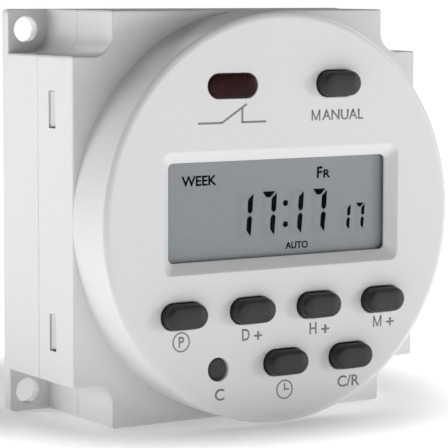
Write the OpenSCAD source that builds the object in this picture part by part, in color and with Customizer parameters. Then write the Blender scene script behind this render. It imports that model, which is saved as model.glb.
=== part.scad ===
// Weekly digital time switch: a square case with a round dial boss, a display, eight keys,
// four screw ears, five blade terminals and a clip for a 35 mm rail on its back.
//
// Frame: the origin is the centre of the case's rear plane. +X is to the viewer's right,
// the dial faces -Y and +Z is up. A "depth" below is a distance in front of the rear plane,
// so depth 10 is y = -10. Lengths are in millimetres.

/* [Case] */
// Width and height of the square case
case_side = 60; // [59:0.5:62]
// Rear plane to the front of the square case
case_depth = 21.7; // [21.5:0.1:22.2]
// Depth of the front housing's square skirt, from the case front back to the seam
skirt_depth = 10.4; // [10:0.1:10.8]
// Thickness of the moulded walls
wall = 1.8; // [1.6:0.1:2]
// Side of the square screw pocket at each corner
pocket = 6.4; // [6:0.1:6.6]
// Radius in the inner corner of a screw pocket
pocket_round = 3; // [2:0.1:3.2]
// Thickness of the screw ears and the rear plate
ear_t = 2.1; // [1.9:0.1:2.2]
// Diameter of the screw hole in each ear
ear_hole_d = 3.8; // [3.2:0.1:4]
// Distance between the ear holes, across and up
ear_hole_pitch = 54; // [53.8:0.1:54.4]

/* [Dial] */
// Height of the dial boss above the square case
dial_rise = 8.8; // [8.7:0.1:9.4]
// Thickness of the dial's face
face_t = 1.6; // [1.4:0.1:1.7]
// Width of the rounded edge round the face
edge_w = 1.1; // [0.8:0.1:1.6]
// Drop of the rounded edge at the dial's wall
edge_drop = 0.5; // [0.3:0.1:0.7]

/* [Display] */
// Width of the display opening
window_w = 37.7; // [36:0.1:38]
// Height of the display opening
window_h = 14.2; // [13.5:0.1:14.4]
// Height of the display's centre above the case's centre
window_z = 1.5; // [1:0.1:1.8]
// Width of the sloping border round the display opening
bevel_w = 1.55; // [1:0.05:1.6]
// Depth of the sloping border
bevel_depth = 1.3; // [1:0.05:1.35]

/* [Keys] */
// Width of a key's cap
key_w = 6.8; // [6.4:0.1:7.4]
// Height of a key's cap
key_h = 3.6; // [3.4:0.1:4.2]
// How far a key stands out of the face
key_rise = 2; // [1:0.1:2.2]
// Travel of a key
key_travel = 0.8; // [0.5:0.1:0.8]
// Distance between neighbouring keys in a row
key_pitch = 11.55; // [11.4:0.05:11.7]
// Shift of the key rows to the right of the case's centre
key_shift = 0.1; // [0:0.1:0.3]
// Height of the upper key row
upper_row_z = -12.95; // [-13.1:0.05:-12.8]
// Height of the lower key row
lower_row_z = -20.95; // [-21.2:0.05:-20.8]
// Height of the manual key and the indicator above the display
top_row_z = 19.4; // [19.2:0.1:19.6]
// Diameter of the reset key's hole
reset_d = 3.4; // [3:0.1:3.6]

/* [Terminals] */
// Distance between neighbouring terminal blades
blade_pitch = 8.4; // [8.2:0.1:8.6]
// Width of a terminal blade
blade_w = 6.3; // [6:0.1:6.3]

/* [Rail clip] */
// Width of the mounting rail, edge to edge
rail_w = 35; // [34.8:0.1:35.2]
// Thickness of the clip's plate, up to the rail's seat
clip_t = 3; // [2.8:0.1:3.4]
// How far the hooks reach over the rail's edge
hook_lip = 2.2; // [1.8:0.1:2.4]

/* [Hidden] */

$fn = 64;
more = 1;                 // how far a cut runs past a face
gap = 0.1;                // clearance between parts that touch
half = case_side / 2;

// Depths of the layers, from the rear plane forwards
seam = case_depth - skirt_depth;
face = case_depth + dial_rise;
face_back = face - face_t;
key_top = face + key_rise;
board_t = 1.6;
board_front = face_back - 6.2;
board_back = board_front - board_t;
power_back = ear_t + 1.3;
power_front = power_back + board_t;

// Case
dial_r = half;
dial_draft = 0.1;
ear_round = 0.8;
ear_hole_at = ear_hole_pitch / 2;
snap_at = [15.9, -16.25];  // heights of the snap windows
snap_w = 5.4;
snap_gap = 0.35;
snap_back = case_depth - 7.1;
snap_front = case_depth - 5.1;
tab_t = 1.2;
tab_root = 6;             // depth at which a snap tab leaves the wall
tab_tip = snap_front + 1;

// Screws
screw_r = 0.95;
screw_fit = 0.05;
screw_head_r = 1.9;
screw_head_t = 1.3;
boss_r = 2;
board_screw_len = 5.5;
board_screws = [[20, 16], [-20, 16], [18.3, -18.6], [-18.3, -18.6]];
power_screws = [[25, 17], [-25, 17], [25, -11.5], [-25, -11.5]];
clip_screw_at = [13, 9.5];
clip_screw_r = 1.05;
clip_screw_head_r = 2.1;
clip_screw_end = ear_t + 0.9;
clip_boss_top = ear_t + 1.1;
clip_boss_r = 2.4;

// Display
panel_w = window_w + 4.2;
panel_h = window_h + 4;
window_t = 0.5;
panel_t = 2.2;
panel_front = face_back - window_t - 0.05;
panel_back = panel_front - panel_t;
frame_w = panel_w + 3;
frame_h = panel_h + 2.8;
strip_len = 38;
strip_t = 2;
strip_at = panel_h / 2 - 1.4;

// Keys: [x, z] of each, and the ring under the face that keeps it in
key_gap = 0.15;
flange_w = 0.85;
flange_t = 0.9;
flange_front = face_back - gap;
flange_back = flange_front - flange_t;
foot_in = 0.35;
foot_back = board_front + key_travel + gap;
mat_front = board_front + 1.3;
mat_gap = 0.3;
function key_x(step) = key_shift + step * key_pitch;
manual_at = [9.1, top_row_z];
program_at = [key_x(-1.5), upper_row_z];
day_at = [key_x(-0.5), upper_row_z];
hour_at = [key_x(0.5), upper_row_z];
minute_at = [key_x(1.5), upper_row_z];
reset_at = [key_x(-1) + 0.2, lower_row_z - 0.15];
clock_at = [key_x(0), lower_row_z];
recall_at = [key_x(1), lower_row_z];
row_keys = [program_at, day_at, hour_at, minute_at, clock_at, recall_at];
reset_top = face - 0.3;

// Indicator
lens_w = 8.2;
lens_h = 3.4;
lens_at = [-8.9, top_row_z];
lens_rise = 0.4;
led_r = 1.5;

// Terminals and their bay
blade_t = 0.8;
blade_tip = -26.2;
blade_root = -10.4;
blades = [-2, -1, 0, 1, 2];
bay_w = 43.6;
bay_depth = 10.1;
bay_top = -17.2;
bay_wall = 1.6;
rib_t = 1;
rib_back = 0.6;
rib_bottom = 1.4 - half;

// Power board and its parts, [x, z] of the middle of each
board_r = 27.5;
board_bottom = bay_top + bay_wall + 0.2;
relay_at = [9, 8];
relay_size = [15.2, 19];
relay_pins = [[-4.5, -7.8], [4.5, -7.8], [-4.5, 4.8], [4.5, 5.8], [0, 7.8]];
film_at = [-20, 4];
film_size = [8, 18];
film_top = power_front + 11.5;
can_r = 4;
cans = [[-9, -5], [-9, 4.5]];
can_top = power_front + 11;
bridge_at = [-9, 16];
bridge_size = [8.4, 6.4];
varistor_at = [-7, 24];
varistor_r = 4.5;
fuse_at = [10, 24];
lead_r = 0.35;
lead_end = power_back - 0.8;

// Relay, by depth; its coil stands on the base
relay_floor = power_front + 1.6;
relay_top = power_front + 14.6;
relay_skin = 0.6;
yoke_t = 1;
pole_top = relay_floor + 10;
armature_back = pole_top + 0.6;
armature_t = 0.8;
hinge_z = relay_at[1] - 8;
coil_z = relay_at[1] - 2;
contact_z = relay_at[1] + 6;
rivet_r = 1;
rivet_back = armature_back - 0.3;
rivet_front = armature_back + armature_t + 0.1;
open_gap = 0.85;          // between the moving contact and the lower fixed contact

// Rail clip, behind the rear plane
clip_w = 36;
clip_h = 42;
clip_edge = 0.15;         // play between the rail's edge and the hooks
hook_t = 3;
rail_gap = 1.4;           // room for the rail's flange under the hook's lip
chamber_w = 14.3;
chamber_t = 1.9;
chamber_top = -9.4;
chamber_floor = -20;
latch_w = 8;
latch_play = 0.15;
post_w = 7;
latch_end = -28;
spring_r = 0.85;
spring_x = 5.6;

case_white = [0.93, 0.93, 0.94];
key_grey = [0.2, 0.2, 0.21];
board_green = [0.1, 0.35, 0.2];
steel = [0.75, 0.76, 0.78];
brass = [0.8, 0.66, 0.35];
clip_grey = [0.78, 0.79, 0.8];

// ---- Helpers -------------------------------------------------------------------------

// A flat outline, drawn as seen from the front, filled from one depth to another
module slab(from, to)
    translate([0, -from, 0]) rotate([90, 0, 0]) linear_extrude(to - from) children();

// A profile of (radius, depth) points turned about the line through the point `at`
module turn(at = [0, 0]) translate([at[0], 0, at[1]]) rotate([90, 0, 0]) rotate_extrude() children();

// A round bar along the depth
module rod(at, r, from, to)
    translate([at[0], -from, at[1]]) rotate([90, 0, 0]) cylinder(r = r, h = to - from);

module box2d(x0, x1, z0, z1) translate([x0, z0]) square([x1 - x0, z1 - z0]);

module mid_box(w, h, at = [0, 0]) translate(at) square([w, h], center = true);

module round_box(w, h, r, at = [0, 0]) translate(at) {
    square([w - 2 * r, h], center = true);
    square([w, h - 2 * r], center = true);
    for (x = [-1, 1], z = [-1, 1]) translate([x * (w / 2 - r), z * (h / 2 - r)]) circle(r = r);
}

// A bar with round ends, w wide and h high
module stadium(w, h, at) translate(at) {
    square([w - h, h], center = true);
    for (x = [-1, 1]) translate([x * (w - h) / 2, 0]) circle(d = h);
}

function arc(centre, r, a0, a1, steps = 10) = [
    for (i = [0:steps]) centre + r * [cos(a0 + (a1 - a0) * i / steps), sin(a0 + (a1 - a0) * i / steps)]
];

// ---- Case ----------------------------------------------------------------------------

// The corner that a screw pocket takes out of the case, grown by `inset`
module pocket_corner(inset) {
    size = pocket + inset;
    r = pocket_round + inset;
    translate([half - size, half - size]) {
        translate([r, 0]) square([size + more - r, size + more]);
        translate([0, r]) square([size + more, size + more - r]);
        translate([r, r]) circle(r = r);
    }
}

module case_outline(inset = 0) difference() {
    square(case_side - 2 * inset, center = true);
    for (mx = [0, 1], mz = [0, 1]) mirror([mx, 0]) mirror([0, mz]) pocket_corner(inset);
}

// The face's rounded edge is an arc that leaves the face smoothly and meets the wall at an edge
function dial_profile() =
    let (r = (edge_w * edge_w + edge_drop * edge_drop) / (2 * edge_drop),
         rim = dial_r - dial_draft,
         sweep = asin(edge_w / r))
    concat([[0, case_depth - wall], [dial_r, case_depth - wall], [dial_r, case_depth]],
           arc([rim - edge_w, face - r], r, 90 - sweep, 90),
           [[0, face]]);

module window_bevel() hull() {
    slab(face - bevel_depth, face - bevel_depth + 0.01)
        round_box(window_w, window_h, 0.8, [0, window_z], $fn = 32);
    slab(face, face + 0.01)
        round_box(window_w + 2 * bevel_w, window_h + 2 * bevel_w, 1.2, [0, window_z], $fn = 32);
}

module front_housing() color(case_white) {
    difference() {
        union() {
            slab(seam, case_depth) case_outline();
            turn($fn = 128) polygon(dial_profile());
        }
        slab(seam - more, case_depth - wall) case_outline(wall);
        rod([0, 0], dial_r - wall, case_depth - wall - more, face_back, $fn = 128);
        slab(face_back - more, face + more) {
            round_box(window_w, window_h, 0.8, [0, window_z]);
            for (at = concat([manual_at], row_keys))
                stadium(key_w + 2 * key_gap, key_h + 2 * key_gap, at);
            stadium(lens_w + 0.2, lens_h + 0.2, lens_at);
        }
        rod(reset_at, reset_d / 2, face_back - more, face + more);
        window_bevel();
        for (x = [-1, 1], z = snap_at) slab(snap_back, snap_front)
            mid_box(2 * wall + 1, snap_w, [x * half, z]);
    }
    for (at = board_screws) difference() {
        rod(at, boss_r, board_front, face_back + 0.2);
        rod(at, screw_r + screw_fit, board_front - more, board_front + board_screw_len);
    }
}

module hook_box(sunk)
    box2d(half - wall - 0.5, half - sunk, snap_gap - 0.05 - snap_w / 2, snap_w / 2 - 0.12);

module snap_tab() {
    slab(tab_root, seam) box2d(half - wall - tab_t - gap, half - wall + 0.2, -snap_w / 2, snap_w / 2);
    slab(seam, tab_tip) box2d(half - wall - tab_t - gap, half - wall - gap, -snap_w / 2, snap_w / 2);
    // The hook: nearly flush at its rear corner, sloping in towards its tip
    hull() {
        slab(snap_back + snap_gap, snap_back + snap_gap + 0.15) hook_box(0.1);
        slab(snap_front - 0.2, snap_front - 0.1) hook_box(0.85);
    }
}

module rear_base() color(case_white) difference() {
    union() {
        difference() {
            slab(0, seam) case_outline();
            slab(ear_t, seam + more) case_outline(wall);
        }
        slab(0, ear_t) round_box(case_side, case_side, ear_round);
        slab(0, seam) box2d(-bay_w / 2 - bay_wall, bay_w / 2 + bay_wall, -half, bay_top + bay_wall);
        for (at = power_screws) rod(at, boss_r + 0.2, ear_t - 0.5, power_back);
        for (x = [-1, 1], z = [-1, 1])
            rod([x * clip_screw_at[0], z * clip_screw_at[1]], clip_boss_r, ear_t - 0.5, clip_boss_top);
        for (m = [0, 1], z = snap_at) mirror([m, 0, 0]) translate([0, 0, z]) snap_tab();
    }
    // The bay is open behind and below, with a rib between each two blades
    difference() {
        slab(-more, bay_depth) box2d(-bay_w / 2, bay_w / 2, -half - more, bay_top);
        for (b = [-1.5:1:1.5]) translate([b * blade_pitch, 0, 0]) slab(rib_back, bay_depth + more)
            box2d(-rib_t / 2, rib_t / 2, rib_bottom, bay_top + more);
    }
    for (b = blades) slab(power_front - 0.2, power_front + blade_t + 0.2)
        mid_box(blade_w + 0.4, 2 * bay_wall + 2, [b * blade_pitch, bay_top + bay_wall / 2]);
    for (x = [-1, 1], z = [-1, 1]) {
        rod([x * ear_hole_at, z * ear_hole_at], ear_hole_d / 2, -more, ear_t + more);
        rod([x * clip_screw_at[0], z * clip_screw_at[1]], clip_screw_r + screw_fit, -more,
            clip_screw_end + 0.1);
    }
    for (at = power_screws) rod(at, screw_r + screw_fit, 0.7, power_back + more);
}

// ---- Display, indicator and keys -----------------------------------------------------

module display_window() color([0.85, 0.9, 0.92, 0.4])
    slab(face_back - window_t, face_back) round_box(panel_w, panel_h, 1, [0, window_z]);

module display_panel() color([0.56, 0.57, 0.58])
    slab(panel_back, panel_front) mid_box(panel_w - 0.4, panel_h - 0.4, [0, window_z]);

module display_frame() color([0.88, 0.88, 0.86]) difference() {
    slab(board_front, face_back - window_t) round_box(frame_w, frame_h, 1, [0, window_z]);
    slab(panel_back, face_back) mid_box(panel_w - 0.1, panel_h - 0.1, [0, window_z]);
    slab(board_front - more, panel_back + more) {
        mid_box(panel_w - 5, panel_h - 7.5, [0, window_z]);
        for (s = [-1, 1]) mid_box(strip_len + 0.4, strip_t + 0.3, [0, window_z + s * strip_at]);
    }
}

module display_contact_strips() color([0.85, 0.5, 0.55]) for (s = [-1, 1])
    slab(board_front, panel_back) mid_box(strip_len, strip_t, [0, window_z + s * strip_at]);

module indicator_lens() color([0.35, 0.04, 0.05]) {
    slab(face_back - gap, face + lens_rise) stadium(lens_w, lens_h, lens_at);
    slab(face_back - 0.9, face_back - gap) stadium(lens_w + 1.6, lens_h + 1.6, lens_at);
}

module indicator_led() color([0.8, 0.15, 0.12]) {
    rod(lens_at, led_r + 0.4, board_front, board_front + 0.8);
    rod(lens_at, led_r, board_front + 0.8, board_front + 3.6);
    translate([lens_at[0], -board_front - 3.6, lens_at[1]]) sphere(r = led_r, $fn = 48);
    for (x = [-1.27, 1.27]) rod(lens_at + [x, 0], 0.25, board_back - 1, board_front + 0.1);
}

module key(at) color(key_grey) {
    slab(flange_front - 0.1, key_top) stadium(key_w, key_h, at);
    slab(flange_back, flange_front) stadium(key_w + 2 * flange_w, key_h + 2 * flange_w, at);
    slab(foot_back, flange_back + 0.1) stadium(key_w - 2 * foot_in, key_h - 2 * foot_in, at);
}

module manual_key() key(manual_at);
module program_key() key(program_at);
module day_key() key(day_at);
module hour_key() key(hour_at);
module minute_key() key(minute_at);
module clock_key() key(clock_at);
module recall_key() key(recall_at);

module reset_key() color(key_grey) {
    rod(reset_at, reset_d / 2 - 0.12, flange_front - 0.1, reset_top);
    rod(reset_at, reset_d / 2 + 0.6, flange_back, flange_front);
    rod(reset_at, reset_d / 2 - 0.4, foot_back, flange_back + 0.1);
}

module foot_hole(at)
    stadium(key_w - 2 * foot_in + 2 * mat_gap, key_h - 2 * foot_in + 2 * mat_gap, at);

module key_mat() color([0.3, 0.3, 0.31]) slab(board_front, mat_front) difference() {
    intersection() {
        box2d(-22.6, 22.6, -24.8, window_z - frame_h / 2 - 0.4);
        circle(r = board_r - 0.7);
    }
    for (at = row_keys) foot_hole(at);
    translate(reset_at) circle(r = reset_d / 2 - 0.1);
    for (at = board_screws) translate(at) circle(r = boss_r + 0.4);
}

module manual_key_mat() color([0.3, 0.3, 0.31]) slab(board_front, mat_front) difference() {
    round_box(11, 7.2, 1, manual_at);
    foot_hole(manual_at);
}

// ---- Display board -------------------------------------------------------------------

module screws(list, top, length) color(steel) for (at = list) {
    rod(at, screw_head_r, top - screw_head_t, top);
    rod(at, screw_r, top - 0.1, top + length);
}

module display_board() color(board_green) slab(board_back, board_front) difference() {
    circle(r = board_r);
    for (at = board_screws) translate(at) circle(r = screw_r + 0.15);
    for (x = [-1.27, 1.27]) translate(lens_at + [x, 0]) circle(r = 0.4);
}

module display_board_screws() difference() {
    screws(board_screws, board_back, board_screw_len + board_t - 0.3);
    for (at = board_screws) slab(board_back - screw_head_t - more, board_back - 0.6) cross_slot(at);
}

module cross_slot(at) translate(at) {
    square([2, 0.5], center = true);
    square([0.5, 2], center = true);
}

module controller_chip() color([0.12, 0.12, 0.13]) {
    chip = 9;
    at = [6, -14];
    slab(board_back - 1.5, board_back - 0.1) mid_box(chip, chip, at);
    for (side = [0:3], i = [-5:5]) translate([at[0], 0, at[1]]) rotate([0, 90 * side, 0])
        slab(board_back - 0.5, board_back) mid_box(1.2, 0.35, [chip / 2 + 0.5, i * 0.75]);
}

module clock_crystal() color(steel) translate([-11, 1.1 - board_back, -16.5]) rotate([0, 90, 0]) {
    cylinder(r = 1, h = 6);
    for (z = [-0.35, 0.35]) translate([z, 0, -1.8]) cylinder(r = 0.15, h = 2);
}

module backup_cell() color(steel) turn([-10, -2]) polygon(concat(
    [[0, board_back - 3.7], [6.4, board_back - 3.7], [6.6, board_back - 3.2]],
    arc([7.5, board_back - 2.7], 0.5, -90, 0, 5),
    arc([7.5, board_back - 1], 0.5, 0, 90, 5),
    [[0, board_back - 0.5]]));

module cell_tabs() color(steel) {
    slab(board_back - 0.5, board_back - 0.3) box2d(-19.5, -10, -4, 0);
    slab(board_back - 0.5, board_back) box2d(-19.5, -19.2, -4, 0);
    slab(board_back - 3.9, board_back - 3.7) box2d(-12, -0.5, -4, 0);
    slab(board_back - 3.9, board_back) box2d(-0.8, -0.5, -4, 0);
}

// The cable bows outwards between the two boards
module ribbon_cable() color([0.6, 0.6, 0.62]) {
    span = board_back - power_front;
    bow = 2;
    r = (span * span / 4 + bow * bow) / (2 * bow);
    middle = (board_back + power_front) / 2;
    thick = 0.9;
    intersection() {
        translate([22 + bow - r, -middle, -4]) difference() {
            cylinder(r = r + thick / 2, h = 10.2, $fn = 128);
            translate([0, 0, -more]) cylinder(r = r - thick / 2, h = 10.2 + 2 * more, $fn = 128);
        }
        slab(power_front, board_back) box2d(20, 28, -5, 8);
    }
}

// ---- Power board ---------------------------------------------------------------------

module leads(spots, to = power_front + 0.5) for (at = spots) rod(at, lead_r, lead_end, to);

film_leads = [film_at + [0, -7.5], film_at + [0, 7.5]];
can_leads = [for (at = cans, x = [-1.2, 1.2]) at + [x, 0]];
bridge_leads = [for (x = [-3.8, 3.8], z = [-2.5, 2.5]) bridge_at + [x, z]];
varistor_leads = [varistor_at + [-2.5, -0.5], varistor_at + [2.5, 0.5]];
fuse_leads = [fuse_at + [-6, 0], fuse_at + [6, 0]];
blade_leads = [for (b = blades, x = [-1.5, 1.5]) [b * blade_pitch + x, blade_root - 1.2]];
relay_leads = [for (p = relay_pins) relay_at + p];

module power_board() color(board_green) slab(power_back, power_front) difference() {
    union() {
        box2d(-board_r, board_r, board_bottom, 21);
        box2d(-21, 21, 20, board_r);
    }
    for (at = power_screws) translate(at) circle(r = screw_r + 0.15);
    for (spots = [film_leads, can_leads, bridge_leads, varistor_leads, fuse_leads, blade_leads,
                  relay_leads], at = spots)
        translate(at) circle(r = lead_r + 0.1);
}

module power_board_screws() difference() {
    color(steel) for (at = power_screws) {
        rod(at, screw_head_r, power_front, power_front + screw_head_t);
        rod(at, screw_r, 0.9, power_front + 0.1);
    }
    for (at = power_screws) slab(power_front + 0.6, power_front + screw_head_t + more) cross_slot(at);
}

module terminal_blades() color(brass) {
    for (b = blades) difference() {
        translate([b * blade_pitch, 0, 0]) slab(power_front, power_front + blade_t) {
            box2d(-blade_w / 2, blade_w / 2, blade_tip + 1, blade_root);
            box2d(1 - blade_w / 2, blade_w / 2 - 1, blade_tip, blade_tip + 2);
        }
        rod([b * blade_pitch, blade_tip + 3.4], 0.85, power_front - more, power_front + blade_t + more);
    }
    leads(blade_leads);
}

module film_capacitor() color([0.85, 0.75, 0.3]) {
    slab(power_front + 0.2, film_top) round_box(film_size[0], film_size[1], 0.8, film_at);
    leads(film_leads);
}

module storage_capacitors() color([0.15, 0.17, 0.3]) {
    for (at = cans) turn(at) polygon([
        [0, power_front + 0.2], [can_r - 0.2, power_front + 0.2], [can_r - 0.2, power_front + 1],
        [can_r - 0.5, power_front + 1.4], [can_r, power_front + 1.9], [can_r, can_top - 0.4],
        [can_r - 0.4, can_top], [0, can_top]]);
    leads(can_leads);
}

module bridge_rectifier() color([0.13, 0.13, 0.14]) {
    slab(power_front + 0.4, power_front + 3.2) mid_box(bridge_size[0] - 1.6, bridge_size[1], bridge_at);
    slab(power_front + 1.6, power_front + 2) for (z = [-2.5, 2.5])
        mid_box(bridge_size[0] - 0.4, 0.6, bridge_at + [0, z]);
    leads(bridge_leads, power_front + 2);
}

module varistor() color([0.15, 0.3, 0.6]) {
    centre = power_front + varistor_r + 1.2;
    translate([varistor_at[0], -centre, varistor_at[1] - 1.9]) cylinder(r = varistor_r, h = 3.8);
    leads(varistor_leads, centre - varistor_r + 1);
}

module fuse_resistor() color([0.45, 0.6, 0.5]) {
    axis_depth = power_front + 1.8;
    translate([fuse_at[0] - 3.5, -axis_depth, fuse_at[1]]) rotate([0, 90, 0]) cylinder(r = 1.5, h = 7);
    translate([fuse_at[0] - 6, -axis_depth, fuse_at[1]]) rotate([0, 90, 0]) cylinder(r = lead_r, h = 12);
    leads(fuse_leads, axis_depth);
    for (at = fuse_leads) translate([at[0], -axis_depth, at[1]]) sphere(r = lead_r, $fn = 24);
}

// ---- Relay ---------------------------------------------------------------------------

module relay_base() color([0.1, 0.1, 0.12]) {
    slab(power_front, relay_floor) mid_box(relay_size[0], relay_size[1], relay_at);
    leads(relay_leads, power_front + 0.2);
}

module relay_cover() color([0.12, 0.3, 0.62]) difference() {
    slab(relay_floor, relay_top) round_box(relay_size[0], relay_size[1], 0.5, relay_at);
    slab(relay_floor - more, relay_top - relay_skin)
        mid_box(relay_size[0] - 2 * relay_skin, relay_size[1] - 2 * relay_skin, relay_at);
}

// The bobbin with its winding, standing on the core's foot
module relay_coil() color([0.72, 0.38, 0.2]) turn([relay_at[0], coil_z]) {
    bottom = relay_floor + yoke_t + 0.2;
    top = pole_top - 0.8;
    polygon([[1.6, bottom], [4.6, bottom], [4.6, bottom + 0.7], [4.1, bottom + 0.7],
             [4.1, top - 0.7], [4.6, top - 0.7], [4.6, top], [1.6, top]]);
}

// The foot under the coil, the upright that the armature hinges on, and the core with its pole
module relay_core() color(steel) {
    slab(relay_floor + 0.1, relay_floor + 0.1 + yoke_t)
        box2d(relay_at[0] - 4, relay_at[0] + 4, hinge_z - 0.6, coil_z + 4);
    slab(relay_floor + 0.1, armature_back - 0.1)
        box2d(relay_at[0] - 4, relay_at[0] + 4, hinge_z - 0.6, hinge_z + 0.6);
    rod([relay_at[0], coil_z], 1.5, relay_floor + yoke_t, pole_top);
    rod([relay_at[0], coil_z], 2.6, pole_top - 0.6, pole_top);
}

module relay_armature() color(steel) {
    x = relay_at[0];
    slab(armature_back, armature_back + armature_t) box2d(x - 3.8, x + 3.8, hinge_z - 0.6, coil_z + 4.2);
    slab(armature_back + 0.25, armature_back + 0.55) box2d(x - 1.6, x + 1.6, coil_z + 4, contact_z + 1.2);
    rod([x, contact_z], rivet_r, rivet_back, rivet_front);
}

// The lower contact closes when the armature is pulled in; it rests against the upper one
module relay_fixed_contacts() color(brass) {
    x = relay_at[0];
    post_z = relay_at[1] + relay_size[1] / 2 - relay_skin - 0.2;
    pad_t = 0.5;
    low = rivet_back - open_gap;
    high = rivet_front + 0.05;
    slab(relay_floor, low - pad_t) box2d(x - 1.5, x + 1.5, post_z - 0.5, post_z);
    slab(low - pad_t - 0.3, low - pad_t) box2d(x - 1.5, x + 1.5, contact_z - 1.2, post_z);
    rod([x, contact_z], rivet_r, low - pad_t - 0.1, low);
    slab(relay_floor, high + 0.6) box2d(x - 6.5, x - 3.5, post_z - 0.5, post_z);
    slab(high + 0.3, high + 0.6) box2d(x - 6.5, x + 1.2, contact_z - 1.2, post_z);
    rod([x, contact_z], rivet_r, high, high + 0.4);
}

// ---- Rail clip, latch and springs ----------------------------------------------------

rail_edge = rail_w / 2 + clip_edge;
lip_back = clip_t + rail_gap;
hook_end = lip_back + 2.2;

// The plate carries the fixed hook at the top and houses the latch in a chamber against the case
module rail_clip() color(clip_grey) difference() {
    union() {
        slab(-clip_t, 0) round_box(clip_w, clip_h, 1);
        slab(-hook_end, -clip_t + 0.1) mid_box(clip_w, hook_t, [0, rail_edge + hook_t / 2]);
        slab(-hook_end, -lip_back) mid_box(clip_w, hook_lip + 0.2, [0, rail_edge - hook_lip / 2 + 0.1]);
    }
    slab(-chamber_t, more) {
        box2d(-chamber_w / 2, chamber_w / 2, chamber_floor, chamber_top);
        box2d(-latch_w / 2 - latch_play, latch_w / 2 + latch_play, -clip_h / 2 - more, chamber_floor + more);
    }
    slab(-clip_t - more, more)
        box2d(-post_w / 2 - latch_play, post_w / 2 + latch_play, -clip_h / 2 - more, -rail_edge + 0.15);
    for (x = [-1, 1], z = [-1, 1])
        translate([x * clip_screw_at[0], 0, z * clip_screw_at[1]]) clip_screw_space();
}

module clip_screw_space() {
    rod([0, 0], clip_screw_r + 0.15, -clip_t - more, more);
    translate([0, clip_t - 1.3, 0]) rotate([-90, 0, 0])
        cylinder(r1 = clip_screw_r + 0.15, r2 = clip_screw_head_r + 0.15, h = 1.31);
}

module rail_latch() color([0.25, 0.26, 0.28]) difference() {
    union() {
        slab(-chamber_t + gap, -gap) {
            mid_box(chamber_w - 0.3, 1.6, [0, chamber_top - 0.1 - 0.8]);
            box2d(-latch_w / 2, latch_w / 2, latch_end, chamber_top - 0.1);
        }
        slab(-hook_end, gap - chamber_t + 0.1)
            box2d(-post_w / 2, post_w / 2, 0.15 - rail_edge - hook_t, -rail_edge);
        slab(-hook_end, -lip_back)
            box2d(-post_w / 2, post_w / 2, -rail_edge - 0.1, hook_lip - rail_edge);
    }
    slab(-chamber_t - more, more) mid_box(5, 1.6, [0, latch_end + 2.3]);
}

module latch_springs() color(steel) for (x = [-1, 1]) translate([x * spring_x, chamber_t / 2, chamber_floor])
    difference() {
        length = chamber_top - 0.1 - 1.6 - chamber_floor;
        cylinder(r = spring_r, h = length);
        translate([0, 0, -more]) cylinder(r = spring_r - 0.3, h = length + 2 * more);
    }

module clip_screws() color(steel) for (x = [-1, 1], z = [-1, 1])
    translate([x * clip_screw_at[0], 0, z * clip_screw_at[1]]) difference() {
        union() {
            rod([0, 0], clip_screw_r, -clip_t + 1, clip_screw_end);
            translate([0, clip_t - 1.25, 0]) rotate([-90, 0, 0])
                cylinder(r1 = clip_screw_r, r2 = clip_screw_head_r, h = 1.2);
        }
        slab(-clip_t - more, -clip_t + 0.8) cross_slot([0, 0]);
    }

front_housing();
rear_base();
display_window();
display_panel();
display_frame();
display_contact_strips();
indicator_lens();
indicator_led();
key_mat();
manual_key_mat();
manual_key();
program_key();
day_key();
hour_key();
minute_key();
clock_key();
recall_key();
reset_key();
display_board();
display_board_screws();
controller_chip();
clock_crystal();
backup_cell();
cell_tabs();
ribbon_cable();
power_board();
power_board_screws();
terminal_blades();
film_capacitor();
storage_capacitors();
bridge_rectifier();
varistor();
fuse_resistor();
relay_base();
relay_cover();
relay_coil();
relay_core();
relay_armature();
relay_fixed_contacts();
rail_clip();
rail_latch();
latch_springs();
clip_screws();
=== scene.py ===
"""Looks of the time switch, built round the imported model, in the same frame and in metres.

X is to the viewer's right, the dial faces -Y and Z is up. Shapes are laid out in millimetres as
(x, depth, z), where depth is the distance in front of the case's rear plane.
"""

import math

import bmesh
import bpy
from mathutils import Matrix, Vector


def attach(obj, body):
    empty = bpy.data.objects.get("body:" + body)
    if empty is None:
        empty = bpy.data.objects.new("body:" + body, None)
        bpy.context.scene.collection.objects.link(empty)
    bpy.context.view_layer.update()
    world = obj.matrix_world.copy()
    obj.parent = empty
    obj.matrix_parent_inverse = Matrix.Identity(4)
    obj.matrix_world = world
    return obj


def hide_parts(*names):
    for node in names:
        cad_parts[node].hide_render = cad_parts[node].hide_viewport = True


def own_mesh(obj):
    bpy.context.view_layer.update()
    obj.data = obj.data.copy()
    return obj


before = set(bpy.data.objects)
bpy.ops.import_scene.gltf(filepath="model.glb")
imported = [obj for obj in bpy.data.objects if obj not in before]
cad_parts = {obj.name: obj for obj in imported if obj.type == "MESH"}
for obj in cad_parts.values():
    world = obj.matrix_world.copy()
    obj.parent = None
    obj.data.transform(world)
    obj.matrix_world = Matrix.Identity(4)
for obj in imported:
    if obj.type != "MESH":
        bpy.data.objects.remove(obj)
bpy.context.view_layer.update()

MM = 0.001

# ---- Sizes, in millimetres ------------------------------------------------------------------

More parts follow.
